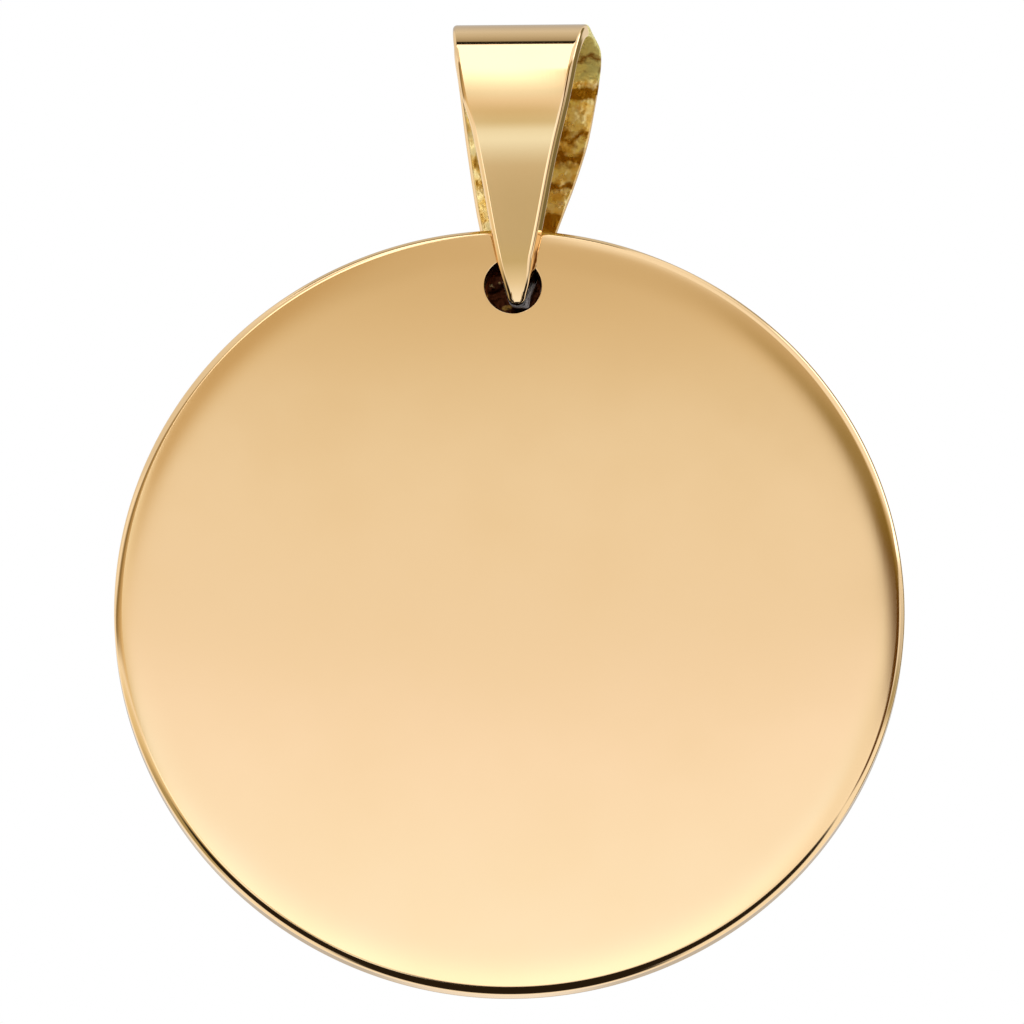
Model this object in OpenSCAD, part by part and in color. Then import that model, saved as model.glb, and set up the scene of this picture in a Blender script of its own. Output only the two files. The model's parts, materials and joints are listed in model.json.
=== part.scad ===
// A round flat disc pendant that hangs from a bail folded out of one tapered strip of sheet.
// The origin is inside the bail's fold, where a chain bears. +Z is up, and the disc faces -Y.
// Each leg of the bail comes down one side of the disc. The narrow tip of the front leg is bent in
// through the disc's hole and soldered to the broad end of the back leg, which covers the hole from
// behind. So the bail is one closed loop that can't come off.

/* [Disc] */
// Diameter of the disc
disc_d = 25; // [20:0.5:32]
// Thickness of the disc
disc_t = 1; // [0.7:0.1:1.2]
// Radius of the polished corner between each face and the rim
corner_r = 0.25; // [0.05:0.05:0.3]
// Diameter of the hole that takes the tip of the bail's front leg
hole_d = 1.8; // [1.6:0.1:2.2]
// Metal between the hole and the rim
hole_margin = 1; // [0.8:0.1:1.4]
// Width of the bevel round both ends of the hole
hole_bevel = 0.06; // [0.02:0.01:0.1]

/* [Bail] */
// Height of the bail, from its tip to the top of its fold
bail_h = 9.35; // [8.5:0.05:12]
// Depth of the fold, over the outside of both legs
fold_d = 3.7; // [3.2:0.1:4.4]
// Width of the strip at the top of the fold
ridge_w = 4.4; // [3.6:0.1:5.2]
// Thickness of the sheet
sheet_t = 0.4; // [0.3:0.05:0.5]
// How far the bent tip stands out of the hole in front
tip_proud = 0.05; // [0:0.01:0.1]
// Radius of the round under the bent tip
tip_round = 0.3; // [0.2:0.05:0.4]
// How far the stem's underside rises from the tip to the back leg
stem_rise = 0.25; // [0.1:0.05:0.4]

/* [How the bail hangs] */
// Turn of the bail to one side, which shows its right-hand opening, in degrees
bail_turn = 6.5; // [0:0.5:8]
// Lean of the bail's top to the right, in degrees
bail_lean = 0.8; // [0:0.2:2]
// Distance of the stem to the right of the hole's centre
stem_shift = 0.18; // [0:0.02:0.24]

/* [Clearances] */
// Room between each leg and the face of the disc that it passes
leg_gap = 0.18; // [0.15:0.01:0.3]
// Least room between the turned bail and the faces that swing past it
face_gap = 0.04; // [0.03:0.01:0.06]
// Room round the stem in the hole, and between the hole's top edge and the crotch that it hangs on
stem_gap = 0.04; // [0.03:0.01:0.06]
// Room left under the tip in the hole
tip_gap = 0.26; // [0.14:0.02:0.36]

/* [Hidden] */

// Outline of each leg, row by row: height above the tip as a share of bail_h, then half the leg's
// width and its shift to the left as shares of half of ridge_w. The leg in front is the narrower one.
FRONT_ROWS = [
    [0.032, 0.136, 0], [0.07, 0.184, 0], [0.134, 0.261, 0], [0.209, 0.334, 0],
    [0.466, 0.545, 0], [0.674, 0.75, 0], [0.881, 0.9, 0], [1, 1, 0]
];
BACK_ROWS = [
    [0.098, 0.42, 0.13], [0.209, 0.485, 0.09], [0.305, 0.575, 0.06], [0.367, 0.645, 0.05],
    [0.451, 0.735, 0.03], [0.555, 0.835, 0.01], [0.637, 0.905, 0], [0.77, 0.99, 0],
    [0.852, 1.04, 0], [0.931, 1.08, 0], [1, 1, 0]
];
// Number of rows in the curve of a leg, of the pinch below it and of the round tip
LEG_STEPS = 14;
PINCH_STEPS = 8;
TIP_STEPS = 6;
GOLD = [0.86, 0.68, 0.4];
// Facets of a round
FINE = 96;
// How far a cutter runs past what it cuts
CUT = 1;

hole_r = hole_d / 2;
half_t = disc_t / 2;
fold_r = fold_d / 2;
fold_mid_r = fold_r - sheet_t / 2;
fold_z = sheet_t - fold_r;
tip_z = sheet_t - bail_h;
hole_z = tip_z + hole_r - tip_gap;
disc_z = hole_z + hole_r + hole_margin - disc_d / 2;

// Inside, the legs come down to a slot beside the disc, with a round floor, the crotch.
// The disc's hole hangs on it with the two edges of its bevels.
slot_half = half_t + leg_gap;
waist_mid = slot_half + sheet_t / 2;
edge_u = half_t - hole_bevel;
floor_sag = slot_half - sqrt(pow(slot_half, 2) - pow(edge_u, 2));
slot_z = hole_z + hole_r - stem_gap - floor_sag + slot_half;
// Below the slot, the front leg bends in to its tip, and the back leg runs on straight
tip_depth = half_t + tip_proud;
tip_round_z = tip_z + tip_round;

// The bail leans and turns about its fold, and the disc hangs below its stem
hang_x = -(fold_z - hole_z) * sin(bail_lean) - stem_shift;

function between(a, b, i, steps) = a + (b - a) * i / steps;

// A leg leaves the fold upright and leans in more and more, to LEG_LEAN times its mean slope
LEG_LEAN = 4 / 3;
function lean_in(t) = LEG_LEAN * (t + (pow(1 - t, 4) - 1) / 4);
function leg_mid(i) = fold_mid_r - (fold_mid_r - waist_mid) * lean_in(i / LEG_STEPS);

// Below the slot, the front leg goes on at that slope and bends in to its tip
leg_end_slope = LEG_LEAN * (fold_mid_r - waist_mid) / (fold_z - slot_z);
pinch_h = slot_z - tip_round_z;
pinch_depth = waist_mid + sheet_t / 2 - tip_depth;
first_lean = leg_end_slope * pinch_h / pinch_depth;
function pinch_in(t) = first_lean * t + (1 - first_lean) * t * t;

// One side of a leg, in front of or behind its middle, as [depth, height] rows from the fold down
function leg_side(offset) = [
    for (i = [0:LEG_STEPS]) [leg_mid(i) + offset, between(fold_z, slot_z, i, LEG_STEPS)]
];
function pinch_side() = [
    for (i = [1:PINCH_STEPS - 1])
        [waist_mid + sheet_t / 2 - pinch_depth * pinch_in(i / PINCH_STEPS),
            between(slot_z, tip_round_z, i, PINCH_STEPS)]
];
function tip_side() = [
    for (i = [0:TIP_STEPS]) let (a = 90 * i / TIP_STEPS)
        [tip_depth - tip_round * (1 - cos(a)), tip_round_z - tip_round * sin(a)]
];
function stem_and_back_end() = [
    [slot_half, tip_z + stem_rise], [slot_half, tip_z], [slot_half + sheet_t, tip_z]
];
function in_front(side) = [for (row = side) [-row[0], row[1]]];
function upwards(side) = [for (i = [len(side) - 1:-1:0]) side[i]];

// Both legs, the crotch and the stem as they look from the side
module legs_profile() {
    outside = leg_side(sheet_t / 2);
    inside = leg_side(-sheet_t / 2);
    difference() {
        polygon(concat(in_front(concat(outside, pinch_side(), tip_side())), stem_and_back_end(),
            upwards(outside)));
        polygon(concat(in_front(inside), upwards(inside)));
        translate([0, slot_z]) circle(r = slot_half, $fn = FINE);
    }
}

// The loop, as wide as the strip at its broadest: a half round fold over both legs
module loop() {
    rotate([90, 0, 90]) linear_extrude(height = 2 * ridge_w, center = true) legs_profile();
    translate([0, 0, fold_z]) rotate([90, 0, 90]) rotate_extrude(angle = 180, $fn = FINE)
        translate([fold_r - sheet_t, -ridge_w]) square([sheet_t, 2 * ridge_w]);
}

// The outline of a leg as it looks from the front, from one depth to another
module leg_outline(rows, from, to) {
    half_w = ridge_w / 2;
    end_r = rows[0][1] * half_w;
    end_x = -rows[0][2] * half_w;
    ends = [for (i = [-1, 1]) [for (row = rows) [(i * row[1] - row[2]) * half_w, tip_z + row[0] * bail_h]]];
    top = [[half_w, CUT], [-half_w, CUT]];
    translate([0, to, 0])
        rotate([90, 0, 0])
            linear_extrude(height = to - from) {
                polygon(concat(ends[1], top, upwards(ends[0])));
                translate([end_x, tip_z + end_r]) circle(r = end_r, $fn = FINE);
            }
}

// All that lies above the middle of the fold, or below it
module half_space(side) {
    reach = 2 * bail_h;
    translate([0, 0, fold_z + side * reach / 2]) cube(reach, center = true);
}

// Between the legs, the stem is as wide as the front leg, and the fold as wide as the back one
module outlines() {
    leg_outline(FRONT_ROWS, -fold_r, 0);
    leg_outline(BACK_ROWS, slot_half, fold_r);
    intersection() {
        leg_outline(FRONT_ROWS, 0, slot_half);
        half_space(-1);
    }
    intersection() {
        leg_outline(BACK_ROWS, 0, slot_half);
        half_space(1);
    }
}

// What swings past the bail: the disc's thickness and its gaps, outside the stem in the hole
module disc_path() {
    reach = 2 * (hole_r + hole_margin);
    translate([hang_x, 0, hole_z]) rotate([90, 0, 0]) difference() {
        cylinder(h = disc_t + 2 * face_gap, r = reach, center = true, $fn = FINE);
        cylinder(h = disc_t + CUT, r = hole_r - stem_gap, center = true, $fn = FINE);
    }
}

module disc_half_section() {
    r = disc_d / 2;
    difference() {
        union() {
            translate([0, -half_t]) square([r - corner_r, disc_t]);
            translate([0, corner_r - half_t]) square([r, disc_t - 2 * corner_r]);
            for (side = [-1, 1])
                translate([r - corner_r, side * (half_t - corner_r)]) circle(r = corner_r, $fn = FINE);
        }
        translate([-CUT, -disc_t]) square([CUT, 2 * disc_t]);
    }
}

module hole() {
    rotate([90, 0, 0]) {
        cylinder(h = disc_t + CUT, r = hole_r, center = true, $fn = FINE);
        for (side = [-1, 1])
            translate([0, 0, side * half_t])
                cylinder(h = 2 * hole_bevel, r1 = hole_r + (1 - side) * hole_bevel,
                    r2 = hole_r + (1 + side) * hole_bevel, center = true, $fn = FINE);
    }
}

module disc() {
    color(GOLD) difference() {
        translate([hang_x, 0, disc_z])
            rotate([90, 0, 0]) rotate_extrude($fn = 2 * FINE) disc_half_section();
        translate([hang_x, 0, hole_z]) hole();
    }
}

module bail() {
    color(GOLD) difference() {
        translate([0, 0, fold_z]) rotate([0, bail_lean, -bail_turn]) translate([0, 0, -fold_z])
            intersection() {
                loop();
                outlines();
            }
        disc_path();
    }
}

disc();
bail();
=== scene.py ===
# %% [markdown]
# # A polished disc pendant on its folded bail
# The pendant has two pieces: a round, flat, polished gold disc, and a bail folded out of one
# tapered strip of gold sheet. Both come from an exact CAD model, which fixes where they are and
# how they move. Here each gets a finer mesh with the soft edges that polishing leaves, a gold
# with real wear, and the light tent that polished metal is photographed in.

# %% Load the exact model
import json
import math

import bpy
import numpy as np
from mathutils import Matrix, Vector, noise


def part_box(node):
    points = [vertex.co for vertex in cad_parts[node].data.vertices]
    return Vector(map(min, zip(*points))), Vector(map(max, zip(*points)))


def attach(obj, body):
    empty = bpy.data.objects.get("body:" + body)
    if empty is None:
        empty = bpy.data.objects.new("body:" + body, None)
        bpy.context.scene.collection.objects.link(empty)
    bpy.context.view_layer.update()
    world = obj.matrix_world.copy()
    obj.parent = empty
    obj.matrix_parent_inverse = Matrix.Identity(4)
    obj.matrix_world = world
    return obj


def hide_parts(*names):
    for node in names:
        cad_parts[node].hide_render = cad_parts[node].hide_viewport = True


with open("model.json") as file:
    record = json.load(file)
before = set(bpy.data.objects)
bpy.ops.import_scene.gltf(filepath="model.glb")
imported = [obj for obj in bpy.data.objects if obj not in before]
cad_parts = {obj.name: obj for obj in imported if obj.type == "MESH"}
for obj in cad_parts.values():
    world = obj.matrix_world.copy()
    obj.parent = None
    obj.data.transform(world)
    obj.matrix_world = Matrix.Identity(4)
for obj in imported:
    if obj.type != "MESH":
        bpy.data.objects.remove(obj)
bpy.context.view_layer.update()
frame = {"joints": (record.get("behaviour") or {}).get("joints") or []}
MM = 0.001

# %% [markdown]
# ## Sizes that both pieces share
# A piece that stands for a CAD node has to lie just where that node is. The disc's centre,
# diameter and thickness are read off the node, and the hole's centre is the joint that the disc
# swings on, so nothing here is placed by eye.

# %% Read the sizes off the model
disc_low, disc_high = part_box("disc")
disc_centre = (disc_low + disc_high) / 2
disc_r = (disc_high.x - disc_low.x) / 2
half_t = (disc_high.y - disc_low.y) / 2
hole_centre = Vector(frame["joints"][0]["pos_m"])
HOLE_R = 0.9 * MM
print("disc radius and half thickness in mm:", round(disc_r / MM, 3), round(half_t / MM, 3))
print("hole centre in mm:", [round(c / MM, 3) for c in hole_centre])

# %% [markdown]
# ## From points to a piece
# A mesh is a list of points and a list of faces that name their corners by number. Sculpting or
# bevels could shape such small, even forms, but a polished surface shows each dent in its
# reflections. So every piece here is a grid of points that is worked out row by row, and its
# faces join neighbours in the grid. Smooth shading then hides the grid.

# %% Meshes from grids
def piece_from(name, points, faces):
    """A smooth mesh object from an array of points and a list of faces."""
    mesh = bpy.data.meshes.new(name)
    mesh.from_pydata([tuple(p) for p in points], [], [tuple(int(i) for i in f) for f in faces])
    mesh.validate()
    mesh.update()
    mesh.shade_smooth()
    obj = bpy.data.objects.new(name, mesh)
    bpy.context.scene.collection.objects.link(obj)
    print(name, "has", len(mesh.vertices), "points and", len(mesh.polygons), "faces")
    return obj


def quads_between(rows, columns, rows_closed=False):
    """Faces of a grid of points whose columns run round in a ring."""
    faces = []
    for i in range(rows if rows_closed else rows - 1):
        a, b = i * columns, (i + 1) % rows * columns
        for j in range(columns):
            k = (j + 1) % columns
            faces.append((a + j, a + k, b + k, b + j))
    return faces


def smooth_step(t):
    """Rises from 0 to 1 with no corner at either end."""
    t = np.clip(t, 0, 1)
    return t * t * (3 - 2 * t)


# %% [markdown]
# ## The disc
# A disc like this is stamped out of sheet, drilled near its rim and polished on a soft wheel.
# The wheel leaves the middle flat, lets the last millimetre of each face fall away a little and
# rounds the corners. A plain cylinder can't show that, and a bevel alone has no soft fall. So the
# section is worked out as a row of points from the hole over the front, round the rim and back
# to the hole, and each row is turned into a ring. Near the rim the rings share the disc's
# centre, near the hole they share the hole's, and in between their centres move from one to the
# other.

# %% How the face falls away
# Width of the falling border, its tilt at the rim, and the share by which the right side falls more
FALL_W = 1.5 * MM
FALL_TILT = math.radians(4.2)
FALL_UNEVEN = 0.22


def face_fall(from_rim, to_right):
    """How far the polished face lies below its flat middle; the right side falls more."""
    share = np.clip(1 - from_rim / FALL_W, 0, 1)
    return FALL_W * math.tan(FALL_TILT) / 3 * share**3 * (1 + FALL_UNEVEN * to_right)


print("fall at the rim in mm:", [round(face_fall(0, side) / MM, 3) for side in (-1, 1)])

# %% The section of the disc
CORNER_R = 0.25 * MM
HOLE_EDGE_R = 0.03 * MM
# Width of the zones whose rings share the centre of the rim or of the hole, and of the narrow
# ring beside the corner that keeps the corner's shading off the face
RIM_ZONE = 0.6 * MM
HOLE_ZONE = 0.05 * MM
BESIDE_CORNER = 0.01 * MM
DISC_SIDES = 512
WALL_RINGS = 4
HOLE_EDGE_RINGS = 6
FACE_RINGS = 46
RIM_ZONE_RINGS = 9
CORNER_RINGS = 15


def ring(centre, radius, depth):
    """Points of one ring round a centre, all at the same depth."""
    turn = np.linspace(0, 2 * math.pi, DISC_SIDES, endpoint=False)
    x = centre[0] + radius * np.cos(turn)
    z = centre[1] + radius * np.sin(turn)
    return np.stack([x, np.full_like(x, depth), z], axis=1)


def disc_rows():
    """Rings of the front half, from the middle of the hole's wall to the middle of the rim."""
    middle = np.array([disc_centre.x, disc_centre.z])
    hole = np.array([hole_centre.x, hole_centre.z])
    rows = []
    for depth in np.linspace(0, half_t - HOLE_EDGE_R, WALL_RINGS)[:-1]:
        rows.append((hole, HOLE_R, depth, 0))
    for a in np.radians(np.linspace(0, 90, HOLE_EDGE_RINGS)):
        out = HOLE_EDGE_R * (1 - math.cos(a))
        rows.append((hole, HOLE_R + out, half_t - HOLE_EDGE_R * (1 - math.sin(a)), 1))
    inner_r = HOLE_R + HOLE_ZONE
    outer_r = disc_r - RIM_ZONE
    for share in smooth_step(np.linspace(0, 1, FACE_RINGS)):
        centre = hole + (middle - hole) * share
        rows.append((centre, inner_r + (outer_r - inner_r) * share, half_t, 1))
    near_rim = np.linspace(RIM_ZONE, CORNER_R + BESIDE_CORNER, RIM_ZONE_RINGS)[1:]
    for out in np.append(near_rim, CORNER_R):
        rows.append((middle, disc_r - out, half_t, 1))
    for a in np.radians(np.linspace(0, 90, CORNER_RINGS))[1:]:
        out = CORNER_R * (1 - math.sin(a))
        rows.append((middle, disc_r - out, half_t - CORNER_R * (1 - math.cos(a)), 1))
    for depth in np.linspace(half_t - CORNER_R, 0, WALL_RINGS)[1:]:
        rows.append((middle, disc_r, depth, 1))
    return rows


print("rings of the disc's front half:", len(disc_rows()))

# %% The disc
# The fall is whole on the face and fades out down to this share of the half thickness
FALL_ENDS = 0.3


def disc_mesh():
    """All rings: the front ones, then the same ones mirrored for the back."""
    middle = np.array([disc_centre.x, disc_centre.z])
    rings = []
    for centre, radius, depth, falls in disc_rows():
        points = ring(centre, radius, -depth)
        to_right = (points[:, 0] - middle[0]) / disc_r
        from_rim = disc_r - np.hypot(points[:, 0] - middle[0], points[:, 2] - middle[1])
        near_face = smooth_step((depth / half_t - FALL_ENDS) / (1 - FALL_ENDS))
        points[:, 1] += face_fall(from_rim, to_right) * falls * near_face
        rings.append(points)
    back = [r * np.array([1, -1, 1]) for r in reversed(rings[1:-1])]
    points = np.concatenate(rings + back)
    points[:, 1] += disc_centre.y
    return points, quads_between(len(rings) + len(back), DISC_SIDES, rows_closed=True)


disc = piece_from("polished_disc", *disc_mesh())

# %% [markdown]
# ## The bail
# The bail starts as a flat strip, broad in the middle and tapered to one narrow and one blunt
# end. It is folded at the middle, so that its legs pass on both sides of the disc. The narrow
# tip is bent in through the disc's hole and soldered to the blunt end behind it. A strip like
# this is best made as a row of sections along its own length, because then its edges stay soft
# and its faces stay even wherever it bends.

# %% Sizes of the strip
# The same driving sizes as the CAD model's, but with a finer tip
BAIL_H = 9.35 * MM
FOLD_R = 1.85 * MM
SHEET_T = 0.4 * MM
HALF_RIDGE = 2.2 * MM
BAIL_TURN = math.radians(6.5)
BAIL_LEAN = math.radians(0.8)
LEG_GAP = 0.18 * MM
FACE_GAP = 0.04 * MM
STEM_GAP = 0.04 * MM
HOLE_BEVEL = 0.06 * MM
HOLE_MARGIN = 1 * MM
TIP_PROUD = 0.05 * MM
TIP_ROUND = 0.16 * MM
STEM_RISE = 0.25 * MM
LEG_LEAN = 4 / 3

tip_z = SHEET_T - BAIL_H
fold_z = SHEET_T - FOLD_R
fold_mid_r = FOLD_R - SHEET_T / 2
slot_half = half_t + LEG_GAP
waist_mid = slot_half + SHEET_T / 2
floor_sag = slot_half - math.sqrt(slot_half**2 - (half_t - HOLE_BEVEL) ** 2)
slot_z = hole_centre.z + HOLE_R - STEM_GAP - floor_sag + slot_half
tip_depth = half_t + TIP_PROUD
print("bail from", round(tip_z / MM, 2), "to", round((fold_z + FOLD_R) / MM, 2), "mm")

# %% [markdown]
# ### The outline of the strip
# Seen from the front, each leg narrows from the fold to its end. A few widths, read at the
# heights where the outline bends, are enough, because a curve through them gives all others. The
# curve never swings past a given width, as a plain spline would.

# %% The outline of the strip
# Height above the tip as a share of the bail's, half width and shift to the left as shares of
# half the ridge, for the leg in front and the one behind
FRONT_ROWS = [
    (0.032, 0.136, 0), (0.07, 0.184, 0), (0.134, 0.261, 0), (0.209, 0.334, 0),
    (0.466, 0.545, 0), (0.59, 0.66, 0), (0.7, 0.785, 0.018), (0.881, 0.923, 0.023),
    (1, 1.016, 0.016),
]
BACK_ROWS = [
    (0.098, 0.42, 0.13), (0.209, 0.485, 0.09), (0.305, 0.575, 0.06), (0.367, 0.645, 0.05),
    (0.451, 0.735, 0.03), (0.555, 0.835, 0.01), (0.637, 0.905, 0), (0.77, 0.99, 0),
    (0.852, 1.04, 0), (0.931, 1.08, 0), (1, 1.016, 0.016),
]


def smooth_rows(rows, share):
    """A row between the given ones, on a curve that passes through them without overshooting."""
    table = np.array(rows, float)
    x, values = table[:, 0], table[:, 1:]
    steps = np.diff(values, axis=0) / np.diff(x)[:, None]
    slopes = np.concatenate([steps[:1], np.zeros((len(x) - 2, 2)), steps[-1:]])
    same_way = steps[:-1] * steps[1:] > 0
    mean = 2 * steps[:-1] * steps[1:] / np.where(same_way, steps[:-1] + steps[1:], 1)
    slopes[1:-1] = np.where(same_way, mean, 0)
    share = np.clip(share, x[0], x[-1])
    i = np.clip(np.searchsorted(x, share) - 1, 0, len(x) - 2)
    gap = x[i + 1] - x[i]
    t = ((share - x[i]) / gap)[:, None]
    gap = gap[:, None]
    return (
        values[i] * (1 - t) ** 2 * (1 + 2 * t) + slopes[i] * gap * t * (1 - t) ** 2
        + values[i + 1] * t**2 * (3 - 2 * t) - slopes[i + 1] * gap * t**2 * (1 - t)
    )


def strip_edges(height, back):
    """Left and right edge of the strip at each height; back is 0 in front and 1 behind."""
    share = (height - tip_z) / BAIL_H
    edges = []
    for rows in (FRONT_ROWS, BACK_ROWS):
        half, shift = (smooth_rows(rows, share) * HALF_RIDGE).T
        end_r = rows[0][1] * HALF_RIDGE
        below = np.clip((tip_z + end_r - height) / end_r, 0, 1)
        half = half * np.sqrt(1 - np.minimum(below, 0.995) ** 2)
        edges.append(np.column_stack([-half - shift, half - shift]))
    return (edges[0] + (edges[1] - edges[0]) * back).T


fold_edges = strip_edges(np.array([fold_z]), 0) / MM
print("width of the strip at the fold in mm:", round(float(fold_edges[1, 0] - fold_edges[0, 0]), 2))


# %% [markdown]
# ### The side view of the strip
# Seen from the side, the strip has an outer and an inner line. Both are walked in step, from the
# bent tip in the hole up the front leg, over the fold and down the back leg to its blunt end, and
# every pair of points is one section. Each leg leaves the fold upright and leans in more and more,
# which is how a strip settles when its ends are pressed together.

# %% The side view
TIP_BEND = math.radians(20)
FOLD_BLEND = 1.2
STEM_STEPS = 14
TIP_STEPS = 14
PINCH_STEPS = 26
LEG_STEPS = 64
FOLD_STEPS = 44
END_STEPS = 18


def leg_middle(share):
    """Depth of the middle of the sheet, from the fold (0) down to the slot (1)."""
    fallen = LEG_LEAN * (share + ((1 - share) ** 4 - 1) / 4)
    return fold_mid_r - (fold_mid_r - waist_mid) * fallen


def front_outside():
    """The outer line from the solder behind the hole round the tip and up to the slot."""
    leg_slope = LEG_LEAN * (fold_mid_r - waist_mid) / (fold_z - slot_z)
    drop = waist_mid + SHEET_T / 2 - tip_depth
    bend_z = tip_z + TIP_ROUND * (1 - math.sin(TIP_BEND))
    height = slot_z - bend_z
    centre = np.array([-tip_depth + TIP_ROUND * math.cos(TIP_BEND), tip_z + TIP_ROUND])
    solder = np.array([waist_mid, tip_z + STEM_RISE])
    to_tip = centre + (0, -TIP_ROUND) - solder
    under = [solder + to_tip * t for t in np.linspace(0, 1, STEM_STEPS, endpoint=False)]
    turn = np.linspace(math.radians(90), TIP_BEND, TIP_STEPS, endpoint=False)
    tip = [centre - TIP_ROUND * np.array([math.cos(a), math.sin(a)]) for a in turn]
    share = np.linspace(1, 0, PINCH_STEPS, endpoint=False)
    first = leg_slope * height / drop
    depth = waist_mid + SHEET_T / 2 - drop * (first * share + (1 - first) * share**2)
    pinch = np.column_stack([-depth, slot_z - height * share])
    return np.concatenate([under, tip, pinch])


def front_inside(count):
    """The inner line of the same steps: round the crotch, from the back leg to the slot."""
    a = np.linspace(0, math.pi, count, endpoint=False)
    floor = np.column_stack([slot_half * np.cos(a), slot_z - slot_half * np.sin(a)])
    floor[0, 0] = waist_mid
    return floor


print("points of the outer line below the slot:", len(front_outside()))

# %% Both lines from end to end
def leg_lines(side):
    """Outer and inner line of a leg from the slot up to the fold; side is -1 for the front."""
    share = np.linspace(1, 0, LEG_STEPS, endpoint=False)
    height = fold_z + (slot_z - fold_z) * share
    return [
        np.column_stack([side * (leg_middle(share) + out * SHEET_T / 2), height]) for out in (1, -1)
    ]


def strip_lines():
    """Outer line, inner line and how far each step has passed from the front to the back."""
    outer = front_outside()
    lines = [[outer], [front_inside(len(outer))]]
    back = [np.zeros(len(outer) + LEG_STEPS)]
    for line, leg in zip(lines, leg_lines(-1)):
        line.append(leg)
    a = np.linspace(math.pi, 0, FOLD_STEPS + 1)
    direction = np.column_stack([np.cos(a), np.sin(a)])
    for line, radius in zip(lines, (FOLD_R, FOLD_R - SHEET_T)):
        line.append(np.array([0, fold_z]) + radius * direction)
    back.append(smooth_step(np.cos(a) / FOLD_BLEND + 0.5))
    for line, leg in zip(lines, leg_lines(1)):
        line.append(leg[::-1])
    end_r = BACK_ROWS[0][1] * HALF_RIDGE
    straight = np.linspace(slot_z, tip_z + end_r, END_STEPS)
    rounding = tip_z + end_r - end_r * np.sin(np.radians(np.linspace(0, 90, END_STEPS)))[1:]
    down = np.concatenate([straight, rounding])
    for line, depth in zip(lines, (waist_mid + SHEET_T / 2, slot_half)):
        line.append(np.column_stack([np.full(len(down), depth), down]))
    back.append(np.ones(LEG_STEPS + len(down)))
    return np.concatenate(lines[0]), np.concatenate(lines[1]), np.concatenate(back)


print("steps along the strip:", len(strip_lines()[0]))


# %% [markdown]
# ### Sections of the strip
# The strip was sheared on a slant, so its right-hand edge shows from the front as a narrow dark
# facet, while polishing has rounded the left-hand one. Its inside was never polished: the hammer
# and the bending jaws left it rippled. Each section runs down the right-hand edge, along the
# inside, up the left-hand edge and back along the outside, and the ripples move the points of its
# inside. Then the strip is leaned and turned about its fold, as the bail hangs, and kept clear of
# the disc's path.

# %% One section
LEFT_EDGE_R = 0.14 * MM
RIGHT_EDGE_R = 0.09 * MM
SLANT = 0.13 * MM
SLANT_FROM = 1 * MM
BESIDE_EDGE = 0.02 * MM
# Largest share of the sheet or of the strip's width that the round of one edge takes up
MOST_ROUND = 0.45
RIPPLE = 0.04 * MM
RIPPLE_LENGTHS = (1.6 * MM, 0.6 * MM, 0.6 * MM)
EDGE_STEPS = 7
WALL_STEPS = 3
FACE_STEPS = 22
SIDE_POINTS = 2 * EDGE_STEPS + WALL_STEPS
SECTION_POINTS = 2 * (SIDE_POINTS + FACE_STEPS)
print("points of each section:", SECTION_POINTS)


def edge_side(thick, soft):
    """How far each point of an edge is across the sheet, and how far its round pulls it in."""
    corner = np.radians(np.linspace(0, 90, EDGE_STEPS))
    soft = min(soft, MOST_ROUND * thick)
    turn_in = soft / thick * (1 - np.cos(corner))
    wall = np.linspace(soft / thick, 1 - soft / thick, WALL_STEPS + 2)[1:-1]
    inset = np.concatenate([1 - np.sin(corner), np.zeros(WALL_STEPS), 1 - np.sin(corner[::-1])])
    return np.concatenate([turn_in, wall, 1 - turn_in[::-1]]), soft * inset


def ripple(point):
    """Height of the hammered ripples at a place."""
    place = Vector(point / RIPPLE_LENGTHS)
    return RIPPLE * (noise.noise(place) + 0.4 * noise.noise(2.1 * place))


def face_row(start, stop):
    """Points across a face, with one close beside each edge, so that the edge stays narrow."""
    beside = min(BESIDE_EDGE / np.linalg.norm(stop - start), 0.2)
    blend = np.concatenate([[beside], np.linspace(0, 1, FACE_STEPS)[1:-1], [1 - beside]])
    return start + (stop - start) * blend[:, None], blend


def section(outer, inner, back):
    """Points of one closed section of the strip, between its outer and its inner line."""
    thick = np.linalg.norm(inner - outer)
    slanted = SLANT * smooth_step((outer[1] - tip_z) / SLANT_FROM - 0.5)
    sides = []
    for soft, slant, sign in ((RIGHT_EDGE_R, slanted, 1), (LEFT_EDGE_R, 0, -1)):
        across, inset = edge_side(thick, soft)
        spine = outer + (inner - outer) * across[:, None]
        left, right = strip_edges(spine[:, 1], back)
        width = right - left
        pull = np.minimum(inset, MOST_ROUND * width) + slant * (1 - across)
        sides.append(np.column_stack([(right if sign > 0 else left) - sign * pull, spine]))
    right_side, left_side = sides[0], sides[1][::-1]
    inside, blend = face_row(right_side[-1], left_side[0])
    outside, _ = face_row(left_side[-1], right_side[0])
    outward = np.append(0, (outer - inner) / thick)
    for point, share in zip(inside, blend):
        point += outward * ripple(point) * math.sin(math.pi * share) ** 0.5
    return np.concatenate([right_side, inside, left_side, outside])


# %% Hanging the strip
def turned(first, second, angle):
    """Turns a pair of coordinates by an angle, from the second axis towards the first."""
    c, s = math.cos(angle), math.sin(angle)
    return first * c + second * s, second * c - first * s


def hang(points):
    """Leans and turns the strip about its fold."""
    x, y, z = points.T
    x, z = turned(x, z - fold_z, BAIL_LEAN)
    x, y = turned(x, y, BAIL_TURN)
    return np.column_stack([x, y, z + fold_z])


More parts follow.
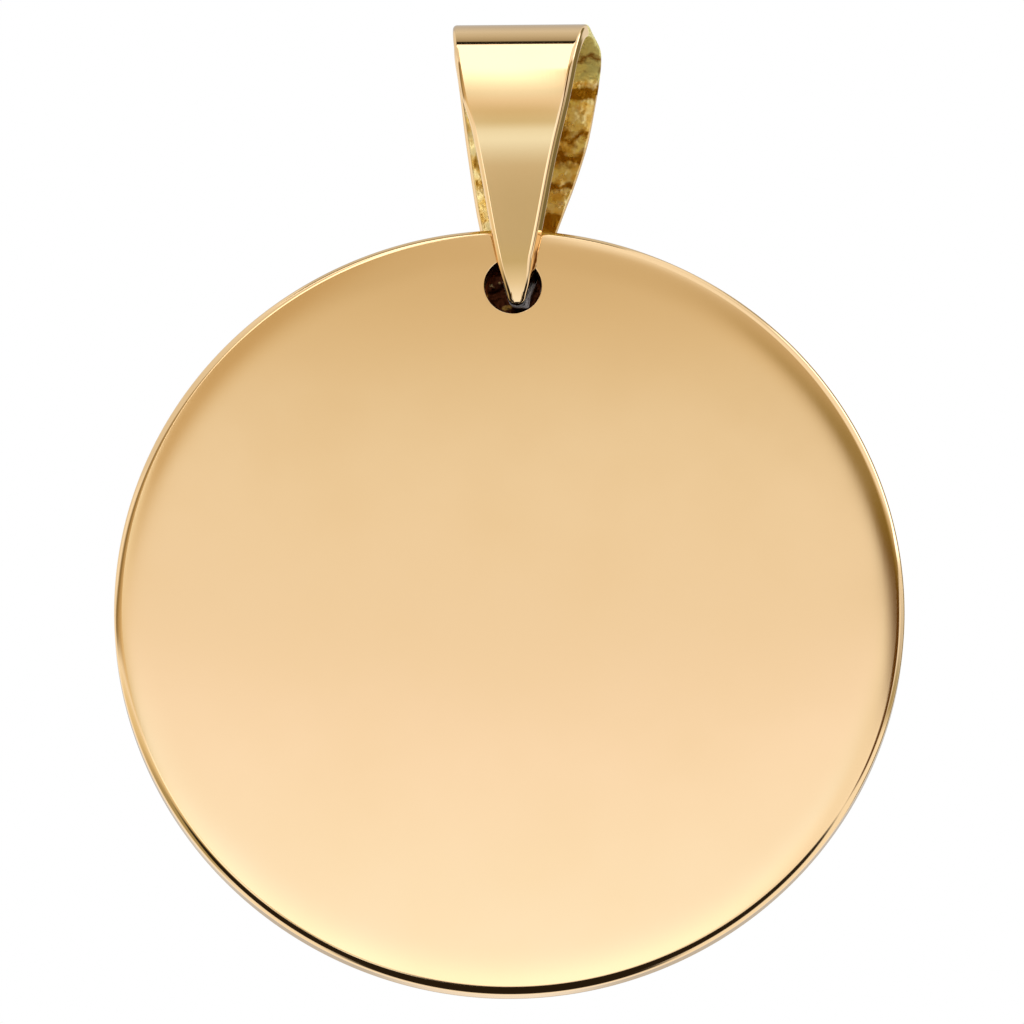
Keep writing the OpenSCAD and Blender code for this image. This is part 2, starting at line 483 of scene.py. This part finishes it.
def clear_of_disc(points):
    """Moves what would lie in the disc's path to its nearest border: a face, or the hole's wall."""
    reach = half_t + FACE_GAP
    wall = HOLE_R - STEM_GAP
    path_r = 2 * (HOLE_R + HOLE_MARGIN)
    dx, dz = points[:, 0] - hole_centre.x, points[:, 2] - hole_centre.z
    away = np.hypot(dx, dz)
    depth = np.abs(points[:, 1])
    inside = (depth < reach) & (away > wall) & (away < path_r)
    to_wall = inside & (away - wall < reach - depth)
    to_face = inside & ~to_wall
    points[to_wall, 0] = hole_centre.x + dx[to_wall] * wall / away[to_wall]
    points[to_wall, 2] = hole_centre.z + dz[to_wall] * wall / away[to_wall]
    points[to_face, 1] = np.sign(points[to_face, 1]) * reach
    print("bail points kept clear of the disc:", int(inside.sum()))
    return points


def bail_mesh():
    """The strip as a closed tube of sections, capped at both ends."""
    sections = [section(o, i, b) for o, i, b in zip(*strip_lines())]
    points = clear_of_disc(hang(np.concatenate(sections)))
    faces = quads_between(len(sections), SECTION_POINTS)
    last = (len(sections) - 1) * SECTION_POINTS
    faces.append(tuple(range(SECTION_POINTS)))
    faces.append(tuple(range(last + SECTION_POINTS - 1, last - 1, -1)))
    return points, faces


bail = piece_from("folded_bail", *bail_mesh())

# %% [markdown]
# ## Polished gold
# Both pieces are the same alloy, buffed to a mirror. Polished metal has no colour of its own
# apart from the tint of its reflection, so the base colour is the gold's reflectance. What makes
# it look real is small: a gloss that isn't quite even, the fine hairlines of the buffing wheel,
# and edges that catch more wear.

# %% The gold
GOLD_TINT = (0.97, 0.70, 0.40, 1)
WORN_TINT = (0.94, 0.66, 0.355, 1)
WEAR_SCALE = 260
HAIRLINE_SCALE = 9000
# How long the hairlines are drawn out, and their slant
HAIRLINE_STRETCH = (1, 1, 0.06)
HAIRLINE_SLANT = math.radians(24)


def polished_gold(name, hairline_depth, roughness):
    """Mirror-bright gold with faint hairlines and an uneven gloss."""
    material = bpy.data.materials.new(name)
    material.use_nodes = True
    nodes, links = material.node_tree.nodes, material.node_tree.links
    shader = nodes["Principled BSDF"]
    shader.inputs["Metallic"].default_value = 1

    where = nodes.new("ShaderNodeTexCoord")
    wear = nodes.new("ShaderNodeTexNoise")
    wear.inputs["Scale"].default_value = WEAR_SCALE
    wear.inputs["Detail"].default_value = 4
    links.new(where.outputs["Object"], wear.inputs["Vector"])

    tint = nodes.new("ShaderNodeMix")
    tint.data_type = "RGBA"
    tint.inputs[6].default_value = GOLD_TINT
    tint.inputs[7].default_value = WORN_TINT
    links.new(wear.outputs["Fac"], tint.inputs[0])
    links.new(tint.outputs[2], shader.inputs["Base Color"])

    gloss = nodes.new("ShaderNodeMapRange")
    gloss.inputs["From Min"].default_value = 0.3
    gloss.inputs["From Max"].default_value = 0.7
    gloss.inputs["To Min"].default_value = 0.8 * roughness
    gloss.inputs["To Max"].default_value = 1.3 * roughness
    links.new(wear.outputs["Fac"], gloss.inputs["Value"])
    links.new(gloss.outputs["Result"], shader.inputs["Roughness"])

    stretch = nodes.new("ShaderNodeMapping")
    stretch.inputs["Scale"].default_value = HAIRLINE_STRETCH
    stretch.inputs["Rotation"].default_value = (0, HAIRLINE_SLANT, 0)
    links.new(where.outputs["Object"], stretch.inputs["Vector"])
    hairlines = nodes.new("ShaderNodeTexNoise")
    hairlines.inputs["Scale"].default_value = HAIRLINE_SCALE
    hairlines.inputs["Detail"].default_value = 3
    links.new(stretch.outputs["Vector"], hairlines.inputs["Vector"])
    bump = nodes.new("ShaderNodeBump")
    bump.inputs["Strength"].default_value = 1
    bump.inputs["Distance"].default_value = hairline_depth
    links.new(hairlines.outputs["Fac"], bump.inputs["Height"])
    links.new(bump.outputs["Normal"], shader.inputs["Normal"])
    return material


disc.data.materials.append(polished_gold("disc_gold", 0.00012 * MM, 0.09))
bail.data.materials.append(polished_gold("bail_gold", 0.0001 * MM, 0.05))
print("polished finishes:", [piece.data.materials[0].name for piece in (disc, bail)])

# %% [markdown]
# ## Gold that no cloth has reached
# The inside of the bail keeps the ripples and the grain of the hammered sheet. Uneven brown bands
# of painted reflection lie across it, where the sheet was bent, and next to the hole and in the
# hole itself painted shade darkens it to a blackish brown. One material makes it all. The height of
# a point, shaken a little by a cloud, tells whether it lies in a band, and finer clouds make the
# dull patches and the grain. The bands lie on the leg behind. At the right end of the fold the
# shears left a rough burr, whose pale tint is a painted highlight.

# %% Where the bands lie
CLEAN_TINT = (1, 0.84, 0.42, 1)
DULL_TINT = (0.85, 0.55, 0.14, 1)
# The burr's pale yellow tint is a painted highlight
BURR_PAINTED_HIGHLIGHT = (1, 0.88, 0.3, 1)
# The brown of the bands is a painted reflection of the dark surroundings on the unpolished inside
PAINTED_REFLECTION_BROWN = (0.36, 0.16, 0.01, 1)
# Painted shade: the blackish brown that darkens the hole's wall and the bail inside the hole
PAINTED_HOLE_SHADE = (0.05, 0.014, 0.006, 1)
BURR_METALLIC = 0.35
# Scales of the clouds that make the grain, shake the bands, dull the metal and dent it
GRAIN_SCALE = 2600
SHAKE_SCALE = 1500
DULL_SCALE = 2200
DENT_SCALE = 1200
SHAKE = 0.9 * MM
BAND_EDGE = 0.2 * MM
# Height of the upper and the lower border of each brown band of painted reflection
PAINTED_REFLECTION_BANDS = [
    (-0.3 * MM, -0.52 * MM), (-1.15 * MM, -1.88 * MM), (-2.66 * MM, -2.96 * MM),
    (-3.3 * MM, -3.76 * MM), (-4.56 * MM, -4.92 * MM), (-5.38 * MM, -7.5 * MM),
]
BAND_REACH = 8 * MM
# Where the painted reflection bands fade from the left to the right and from the front to the back,
# the height over which the burr and its painted highlight start, and the heights between which
# painted shade turns each piece black
BANDS_SIDEWAYS = (-0.9 * MM, 0.3 * MM)
BANDS_BACKWARDS = (-0.3 * MM, 0.3 * MM)
BURR_AND_HIGHLIGHT_STARTS = (-1.12 * MM, -0.95 * MM)
BAIL_PAINTED_SHADE = (-6.9 * MM, -7.3 * MM)
HOLE_PAINTED_SHADE = (-6.5 * MM, -7.2 * MM)


def reflection_band_ramp(nodes):
    """A ramp over the heights from 0 down to BAND_REACH that is white in the brown bands of painted
    reflection.
    """
    ramp = nodes.new("ShaderNodeValToRGB")
    stops = ramp.color_ramp.elements
    stops[0].position, stops[0].color = 0, (0, 0, 0, 1)
    stops[1].position, stops[1].color = 1, (1, 1, 1, 1)
    for upper, lower in PAINTED_REFLECTION_BANDS:
        for border, outwards in ((upper, 1), (lower, -1)):
            outside, inside = border + outwards * BAND_EDGE / 2, border - outwards * BAND_EDGE / 2
            stops.new(-outside / BAND_REACH).color = (0, 0, 0, 1)
            stops.new(-inside / BAND_REACH).color = (1, 1, 1, 1)
    return ramp


print("brown bands:", len(PAINTED_REFLECTION_BANDS))


# %% Helpers that add one node each
def map_range(nodes, links, value, start, stop, low=0, high=1):
    """A node that turns the range from start to stop into the one from low to high."""
    node = nodes.new("ShaderNodeMapRange")
    numbers = {"From Min": start, "From Max": stop, "To Min": low, "To Max": high}
    for name, number in numbers.items():
        node.inputs[name].default_value = number
    links.new(value, node.inputs["Value"])
    return node.outputs["Result"]


def cloud(nodes, links, place, scale):
    """A soft cloud of a scale."""
    node = nodes.new("ShaderNodeTexNoise")
    node.inputs["Scale"].default_value = scale
    node.inputs["Detail"].default_value = 3
    links.new(place, node.inputs["Vector"])
    return node.outputs["Fac"]


def mixed(nodes, links, share, first, second):
    """Goes from the first colour to the second with the share."""
    node = nodes.new("ShaderNodeMix")
    node.data_type = "RGBA"
    for socket, colour in ((node.inputs[6], first), (node.inputs[7], second)):
        if isinstance(colour, tuple):
            socket.default_value = colour
        else:
            links.new(colour, socket)
    links.new(share, node.inputs[0])
    return node.outputs[2]


def maths(nodes, links, operation, first, second):
    """One sum or product of two values."""
    node = nodes.new("ShaderNodeMath")
    node.operation = operation
    for socket, value in zip(node.inputs, (first, second)):
        if isinstance(value, (int, float)):
            socket.default_value = value
        else:
            links.new(value, socket)
    return node.outputs["Value"]


# %% The rough material
def rough_gold(name, painted_shade_heights):
    """Hammered gold with brown bands of painted reflection, and painted shade that turns it black
    from one height down to another.
    """
    material = bpy.data.materials.new(name)
    material.use_nodes = True
    nodes, links = material.node_tree.nodes, material.node_tree.links
    shader = nodes["Principled BSDF"]

    where = nodes.new("ShaderNodeTexCoord")
    place = where.outputs["Object"]
    axes = nodes.new("ShaderNodeSeparateXYZ")
    links.new(place, axes.inputs["Vector"])
    height = axes.outputs["Z"]
    grain = cloud(nodes, links, place, GRAIN_SCALE)

    shake = map_range(nodes, links, cloud(nodes, links, place, SHAKE_SCALE), 0, 1, -SHAKE, SHAKE)
    shaken = maths(nodes, links, "ADD", height, shake)
    ramp = reflection_band_ramp(nodes)
    links.new(map_range(nodes, links, shaken, 0, -BAND_REACH), ramp.inputs["Fac"])
    to_right = map_range(nodes, links, axes.outputs["X"], *BANDS_SIDEWAYS, 0.25, 1)
    behind = map_range(nodes, links, axes.outputs["Y"], *BANDS_BACKWARDS)
    banded = maths(nodes, links, "MULTIPLY", to_right, behind)
    # Painted reflection: brown bands where the inside mirrors its dark surroundings
    brown = maths(nodes, links, "MULTIPLY", ramp.outputs["Color"], banded)
    dull = map_range(nodes, links, cloud(nodes, links, place, DULL_SCALE), 0.42, 0.62)
    dull_behind = maths(nodes, links, "MULTIPLY", dull, behind)
    bright = mixed(nodes, links, dull_behind, CLEAN_TINT, DULL_TINT)
    # The burr is rough and less metallic, and its pale tint is a painted highlight
    burr = map_range(nodes, links, height, *BURR_AND_HIGHLIGHT_STARTS)
    bright = mixed(nodes, links, burr, bright, BURR_PAINTED_HIGHLIGHT)
    tint = mixed(nodes, links, brown, bright, PAINTED_REFLECTION_BROWN)
    links.new(map_range(nodes, links, burr, 0, 1, 1, BURR_METALLIC), shader.inputs["Metallic"])

    # Painted shade: below the given heights the tint goes to blackish brown, except in bright grain
    # spots
    bare = map_range(nodes, links, grain, 0.6, 0.72, 1, 0.25)
    black = maths(nodes, links, "MULTIPLY", map_range(nodes, links, height, *painted_shade_heights), bare)
    links.new(mixed(nodes, links, black, tint, PAINTED_HOLE_SHADE), shader.inputs["Base Color"])
    links.new(map_range(nodes, links, grain, 0, 1, 0.15, 0.45), shader.inputs["Roughness"])

    bump = nodes.new("ShaderNodeBump")
    bump.inputs["Strength"].default_value = 0.8
    bump.inputs["Distance"].default_value = 0.2 * MM
    links.new(cloud(nodes, links, place, DENT_SCALE), bump.inputs["Height"])
    links.new(bump.outputs["Normal"], shader.inputs["Normal"])
    return material


bail.data.materials.append(rough_gold("bail_inside_gold", BAIL_PAINTED_SHADE))
disc.data.materials.append(rough_gold("hole_gold", HOLE_PAINTED_SHADE))
print("rough finishes:", [piece.data.materials[1].name for piece in (disc, bail)])

# %% Which faces are rough
# The inside starts in the round of the right-hand edge, the burr reaches so far to the front, and
# the hole's wall takes in its soft edge
ROUND_POINTS = 2
BURR_REACH = 0.45 * FOLD_R
WALL_SPARE = 0.02 * MM
for face in bail.data.polygons:
    column = face.index % SECTION_POINTS
    depth, height = face.center.y, face.center.z
    inside = SIDE_POINTS - ROUND_POINTS <= column <= SIDE_POINTS + FACE_STEPS
    fold_end = column < SIDE_POINTS and depth > -BURR_REACH and height > fold_z
    in_hole = -half_t < depth < waist_mid and height < slot_z - slot_half
    if inside or fold_end or in_hole:
        face.material_index = 1
rough_faces = 0
for face in disc.data.polygons:
    from_hole = math.hypot(face.center.x - hole_centre.x, face.center.z - hole_centre.z)
    if from_hole < HOLE_R + WALL_SPARE:
        face.material_index = 1
        rough_faces += 1
print("faces of the hole's wall:", rough_faces)

# %% [markdown]
# ## Joining the pieces to the moving model
# The exact model has two bodies: the bail, which a chain would carry, and the disc, which swings
# on the bail's stem. Each finer piece rides on its own body and takes the place of that body's
# plain solid, so it moves with it and nothing shows twice.

# %% Join the pieces to the moving model
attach(disc, "disc")
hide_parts("disc")
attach(bail, "bail")
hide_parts("bail")

# %% [markdown]
# ## The light tent
# Polished metal shows nothing but its surroundings, so small shiny things are photographed in a
# tent of white cloth, lit from outside. Its brighter and darker panels make the soft shades on
# the flat disc and the lines on the bail. The tent is a sphere round the pendant whose inside
# glows. The camera doesn't see it, so the pendant stands before a plain white ground.

# %% Shades of the cloth
# Each shade is the light of the cloth, red, green and blue, where 1 is plain white
WHITE = (1, 1, 1)
GREY_CLOTH = (0.8, 0.78, 0.74)
LAMP_SPOT = (1.9, 1.9, 1.9)
SIDE_LAMP = (2.2, 2.3, 2.6)
SHADOW = (0.02, 0.015, 0.01)
TAN = (0.66, 0.57, 0.41)
UMBER = (0.11, 0.05, 0.005)
OLIVE = (0.2, 0.18, 0.09)
BROWN = (0.27, 0.2, 0.1)
PALE_TAN = (0.42, 0.37, 0.22)

# Elevation in degrees and shade of the card in front, which the flat disc mirrors
CARD = [
    (-4, (1.45, 1.45, 1.5)), (2, (1.35, 1.4, 1.5)), (6.5, (1.04, 1.14, 1.3)),
    (8, (1.03, 1.07, 1.16)), (10, (1.02, 1.02, 1.1)), (11.2, (0.98, 0.96, 1.01)),
    (12.4, (0.92, 0.9, 0.9)), (15.5, (0.9, 0.88, 0.85)), (17, (0.86, 0.84, 0.79)),
    (18.5, (0.76, 0.68, 0.53)), (20, TAN), (40, TAN),
]
# Azimuth to the left and shade of the board that darkens the rim on the left
LEFT_BOARD = [
    (4, (0.78, 0.66, 0.45)), (14, (0.6, 0.47, 0.28)), (26, (0.55, 0.43, 0.25)),
    (42, (0.38, 0.3, 0.16)), (52, BROWN), (64, BROWN), (86, WHITE),
]
# Elevation and shade of the cloth below that board
LOW_LEFT = [
    (-18, PALE_TAN), (-13, (0.6, 0.52, 0.36)), (-8, (0.78, 0.7, 0.5)), (-3, (0.84, 0.76, 0.58)),
    (3, WHITE),
]
# Elevation and shade of the board on the right, which darkens the rim there
RIGHT_BOARD = [
    (14, UMBER), (16, (0.22, 0.15, 0.03)), (19, (0.32, 0.25, 0.1)), (21, (0.54, 0.44, 0.27)),
    (24, (0.64, 0.55, 0.4)), (26, WHITE),
]
# Elevation and shade of the cloth beyond that board
FAR_RIGHT = [
    (-7, WHITE), (-3, PALE_TAN), (2, (0.44, 0.42, 0.3)), (6, (0.62, 0.62, 0.64)),
    (13, (0.75, 0.77, 0.8)),
]
# Angle and shade along the lane that the bail mirrors, from below the card over the top to the back
LANE = [
    (-20, (1, 1.05, 1.1)), (-15, (0.83, 0.81, 0.71)), (-8, (0.59, 0.55, 0.38)),
    (0.5, (0.57, 0.53, 0.4)), (2.5, (0.64, 0.6, 0.48)), (5.2, (0.94, 1.05, 1.08)),
    (6.6, (0.9, 0.99, 0.97)), (8, (0.69, 0.66, 0.49)), (10.4, (0.71, 0.63, 0.45)),
    (12.7, (0.88, 0.81, 0.7)), (15.5, (1, 1.05, 1)), (22, LAMP_SPOT), (68.5, LAMP_SPOT),
    (70, SHADOW), (75.5, SHADOW), (77, (0.4, 0.36, 0.28)), (90, (0.6, 0.58, 0.52)),
    (104, (0.71, 0.71, 0.69)), (125, (0.55, 0.55, 0.55)),
]


# %% Helpers that hang and shade a cloth
def rising(value, border, soft):
    """0 below a soft border and 1 above it."""
    return smooth_step((value - border) / soft + 0.5)


def panel(value, start, stop, soft):
    """1 between two soft borders, 0 elsewhere."""
    return rising(value, start, soft) * (1 - rising(value, stop, soft))


def shade_at(value, stops):
    """Shade at each value, between the given stops."""
    places, shades = zip(*stops)
    return np.column_stack([np.interp(value, places, channel) for channel in zip(*shades)])


def over(colours, mask, colour):
    """Lays a colour over others where the mask is 1."""
    return colours * (1 - mask[:, None]) + np.asarray(colour) * mask[:, None]


# %% [markdown]
# ### Where the shades hang
# A place on the tent is given by its azimuth, with + to the right, and its elevation, both in
# degrees. The bail is turned a little, so all that its front mirrors lies in one narrow lane,
# which runs up past the card, over the top and down behind. A second pair of angles, across that
# lane and along it, places the bail's shades.

# %% Borders of the shades
TENT_R = 110 * MM
tent_centre = Vector((0, 0, -16 * MM))
# Azimuth and elevation where each cloth starts and ends, and how soft its borders are
CARD_PLACE = ((-24, 9, 4), (-8, 48, 4))
LOW_LEFT_PLACE = ((-108, -26, 10), (-36, 6, 8))
HIGH_WHITE_PLACE = ((1, 40, 3), (25, 80, 1.5))
FAR_RIGHT_PLACE = ((66, 106, 10), (-10, 15, 4))
OLIVE_PLACE = ((112, 138, 6), (-15, 60, 6))
# The same for the elevation alone of what has a border that isn't straight, and for the lane
GREY_HEIGHT = (15, 60, 30)
LEFT_HEIGHT = (5, 30, 6)
RIGHT_HEIGHT = (-12, 48, 6)
LAMP_HEIGHT = (20, 56, 4)
FLOOR_WIDTH = (-78, 70, 10)
LANE_LENGTH = (-27, 200, 3)
# Below this level the card's shades are bent, by so much for each square degree to the side
CARD_LEVEL = 13
CARD_BEND = 0.018
CARD_SIDE = 12
# Azimuth of the left board's inner edge at that level, its rise and how far below and above it
# the edge goes on, and azimuth of its outer edge
LEFT_EDGE = -11.6
LEFT_RISE = 0.82
LEFT_REACH = (-18, 8)
LEFT_END = -104
# Elevation, and how far the left board's shades are drawn towards the card there
LEFT_SLANT = [(8, -28), (11, -20), (15, 0), (24, 12), (28, 26)]
# Elevation, and azimuth or softness of a border there
RIGHT_EDGE = [
    (-15, 48), (-4, 42), (0, 38), (4, 32), (7.3, 24), (10, 14), (13, 12), (17, 8.8), (21, 5.6),
]
RIGHT_SOFT = [(7, 8), (13, 4.5), (20, 4)]
RIGHT_END = [(-5, 64), (8, 52), (13, 45), (15, 52), (18, 66), (24, 92)]
LAMP_START = [(20, 64), (26, 84)]
LAMP_END = 106
# Azimuth, and elevation of the dark floor's border there
FLOOR_TOP = [
    (-90, -50), (-76, -34), (-64, -22), (-58, -18), (-43, -16), (20, -17), (32, -12), (45, -14),
    (58, -20), (70, -29),
]
# Elevation below which the floor lies all round
BELOW = -60
# Angle along the lane, and how far the lane reaches from its middle there
LANE_MIDDLE = -6.15
LANE_TO_LEFT = [(-12, 5), (-6, 2.2), (10, 1.5), (22, 1.5), (27, 3.2), (60, 3.2), (66, 20)]
LANE_TO_RIGHT = [(-12, 4), (-6, 1.5), (10, 1.2), (22, 1.2), (30, 5), (60, 5), (66, 20)]


# %% Angles on the tent
def hung(place, azimuth, elevation):
    """1 where a cloth hangs."""
    return panel(azimuth, *place[0]) * panel(elevation, *place[1])


def height_on(line, value):
    """Height at a place of a line that is given by its points."""
    places, heights = zip(*line)
    return np.interp(value, places, heights)


def tent_angles(points):
    """Azimuth and elevation of each point, and its angles across the lane and along it."""
    unit = points / np.linalg.norm(points, axis=1)[:, None]
    azimuth = np.degrees(np.arctan2(unit[:, 0], -unit[:, 1]))
    elevation = np.degrees(np.arcsin(np.clip(unit[:, 2], -1, 1)))
    across = np.degrees(np.arcsin(unit @ (math.cos(BAIL_TURN), -math.sin(BAIL_TURN), 0)))
    forth = unit @ (-math.sin(BAIL_TURN), -math.cos(BAIL_TURN), 0)
    along = np.degrees(np.arctan2(unit[:, 2], forth))
    return azimuth, elevation, across, np.where(along < -90, along + 360, along)


# %% [markdown]
# ### What hangs where
# Each cloth or board is laid over those before it: the card in front, the boards that darken the
# rim on both sides, white cloth and a lamp high on the right, which light the rim's outermost
# line, the dark floor, whose reflection is the black line along the lower rim, and at last the
# bail's lane.

# %% The shades
def with_card(colours, azimuth, elevation):
    """Lays on the card in front."""
    to_side = np.clip(azimuth, -CARD_SIDE, CARD_SIDE)
    bend = CARD_BEND * to_side**2 * np.clip((CARD_LEVEL - elevation) / 2, 0, 1)
    card = hung(CARD_PLACE, azimuth, elevation)
    return over(colours, card, shade_at(elevation - bend, CARD))


def with_left(colours, azimuth, elevation):
    """Lays on the cloth and the board on the left."""
    low_left = hung(LOW_LEFT_PLACE, azimuth, elevation)
    colours = over(colours, low_left, shade_at(elevation, LOW_LEFT))
    edge = LEFT_EDGE + LEFT_RISE * np.clip(elevation - CARD_LEVEL, *LEFT_REACH)
    board = rising(azimuth, LEFT_END, 6) * (1 - rising(azimuth, edge, 4))
    slanted = height_on(LEFT_SLANT, elevation) - azimuth
    return over(colours, board * panel(elevation, *LEFT_HEIGHT), shade_at(slanted, LEFT_BOARD))


def with_right(colours, azimuth, elevation):
    """Lays on the board, the cloths and the lamp on the right."""
    edge, soft = height_on(RIGHT_EDGE, elevation), height_on(RIGHT_SOFT, elevation)
    end = height_on(RIGHT_END, elevation)
    board = rising(azimuth, edge, soft) * (1 - rising(azimuth, end, 8))
    board = board * panel(elevation, *RIGHT_HEIGHT)
    colours = over(colours, board, shade_at(elevation, RIGHT_BOARD))
    colours = over(colours, hung(HIGH_WHITE_PLACE, azimuth, elevation), WHITE)
    far_right = hung(FAR_RIGHT_PLACE, azimuth, elevation)
    colours = over(colours, far_right, shade_at(elevation, FAR_RIGHT))
    lamp = panel(azimuth, height_on(LAMP_START, elevation), LAMP_END, 6)
    colours = over(colours, lamp * panel(elevation, *LAMP_HEIGHT), SIDE_LAMP)
    return over(colours, hung(OLIVE_PLACE, azimuth, elevation), OLIVE)


def with_floor(colours, azimuth, elevation):
    """Lays on the dark floor, which ends at the sides but not right below."""
    reach = np.maximum(panel(azimuth, *FLOOR_WIDTH), 1 - rising(elevation, BELOW, 10))
    dark = (1 - rising(elevation, height_on(FLOOR_TOP, azimuth), 6)) * reach
    return over(colours, dark, SHADOW)


def tent_colours(points):
    """Glow of the tent's cloth at each point."""
    azimuth, elevation, across, along = tent_angles(points)
    colours = over(np.ones((len(points), 3)), panel(elevation, *GREY_HEIGHT), GREY_CLOTH)
    for laid_on in (with_card, with_left, with_right, with_floor):
        colours = laid_on(colours, azimuth, elevation)
    left = LANE_MIDDLE - height_on(LANE_TO_LEFT, along)
    right = LANE_MIDDLE + height_on(LANE_TO_RIGHT, along)
    lane = panel(across, left, right, 1) * panel(along, *LANE_LENGTH)
    return over(colours, lane, shade_at(along, LANE))


# %% The tent
# Range and step in degrees of the fine part of the tent, where the shades change most
FINE_AZIMUTHS = (-40, 60, 0.5)
FINE_HEIGHTS = (-36, 80, 0.7)
COARSE = 2


def steps(low, high, fine_low, fine_high, fine):
    """Angles from low to high in coarse steps, and in fine ones in one range."""
    return np.concatenate([
        np.arange(low, fine_low, COARSE), np.arange(fine_low, fine_high, fine),
        np.linspace(fine_high, high, round((high - fine_high) / COARSE) + 1),
    ])


def tent_glow():
    """A material that gives off the colours of the mesh."""
    material = bpy.data.materials.new("tent_glow")
    material.use_nodes = True
    nodes, links = material.node_tree.nodes, material.node_tree.links
    nodes.remove(nodes["Principled BSDF"])
    read = nodes.new("ShaderNodeAttribute")
    read.attribute_name = "glow"
    emission = nodes.new("ShaderNodeEmission")
    links.new(read.outputs["Color"], emission.inputs["Color"])
    links.new(emission.outputs["Emission"], nodes["Material Output"].inputs["Surface"])
    return material


def light_tent():
    """A sphere whose inside glows with the cloths' colours."""
    azimuths = np.radians(steps(-180, 180, *FINE_AZIMUTHS))[:-1]
    heights = np.radians(steps(-90, 90, *FINE_HEIGHTS))
    points = []
    for up in heights:
        level, out = math.sin(up), math.cos(up)
        points += [(out * math.sin(turn), -out * math.cos(turn), level) for turn in azimuths]
    points = np.array(points) * TENT_R
    tent = piece_from("light_tent", points, quads_between(len(heights), len(azimuths)))
    tent.location = tent_centre
    glow = tent.data.color_attributes.new("glow", "FLOAT_COLOR", "POINT")
    colours = np.column_stack([tent_colours(points), np.ones(len(points))])
    glow.data.foreach_set("color", colours.astype(np.float32).ravel())
    tent.data.materials.append(tent_glow())
    tent.visible_camera = False
    tent.visible_shadow = False
    return tent


tent = light_tent()

# %% [markdown]
# ## The white ground
# A catalogue picture shows jewellery before plain white. A paper sweep could do it, but then the
# pendant would need a shadow, and this one hangs free. So the world itself is white, and a pale
# floor far below closes the view from above.

# %% The white ground and the floor
FLOOR_HALF = 2
FLOOR_Z = -0.3
world = bpy.data.worlds.new("white_ground")
bpy.context.scene.world = world
world.use_nodes = True
world.node_tree.nodes["Background"].inputs["Color"].default_value = (1, 1, 1, 1)
world.node_tree.nodes["Background"].inputs["Strength"].default_value = 1

signs = ((-1, -1), (1, -1), (1, 1), (-1, 1))
corners = [(x * FLOOR_HALF, y * FLOOR_HALF, FLOOR_Z) for x, y in signs]
floor = piece_from("pale_floor", corners, [(0, 1, 2, 3)])
pale = bpy.data.materials.new("pale_paper")
pale.use_nodes = True
paper = pale.node_tree.nodes["Principled BSDF"]
paper.inputs["Base Color"].default_value = (0.9, 0.9, 0.9, 1)
paper.inputs["Roughness"].default_value = 0.9
floor.data.materials.append(pale)

# %% [markdown]
# ## The camera
# The pendant hangs, and the camera looks at it from a little below with a long lens, so that
# the round disc shows as an ellipse with hardly any perspective.

# %% The camera
LOOK_UP = math.radians(15)
ROLL = math.radians(0.62)
DISTANCE = 600 * MM
# The disc is 791 of the photo's 1024 pixels wide
FRAME_W = 1024 / 31.64 * MM
SENSOR_W = 36
aim = Vector((-0.227, -1.29, -15.96)) * MM

forward = Vector((0, math.cos(LOOK_UP), math.sin(LOOK_UP)))
upright = Vector((0, -math.sin(LOOK_UP), math.cos(LOOK_UP)))
side = Vector((1, 0, 0))
camera_right = side * math.cos(ROLL) + upright * math.sin(ROLL)
camera_up = upright * math.cos(ROLL) - side * math.sin(ROLL)

camera = bpy.data.objects.new("camera", bpy.data.cameras.new("camera"))
bpy.context.scene.collection.objects.link(camera)
camera.data.sensor_width = SENSOR_W
camera.data.lens = SENSOR_W * DISTANCE / FRAME_W
camera.data.clip_start = 0.01
camera.data.clip_end = 10
placed = camera.matrix_world.copy()
for row in range(3):
    placed[row][0], placed[row][1] = camera_right[row], camera_up[row]
    placed[row][2], placed[row][3] = -forward[row], aim[row] - forward[row] * DISTANCE
camera.matrix_world = placed
bpy.context.scene.camera = camera
bpy.context.scene.view_settings.view_transform = "Standard"
print("camera lens in mm:", round(camera.data.lens, 1))
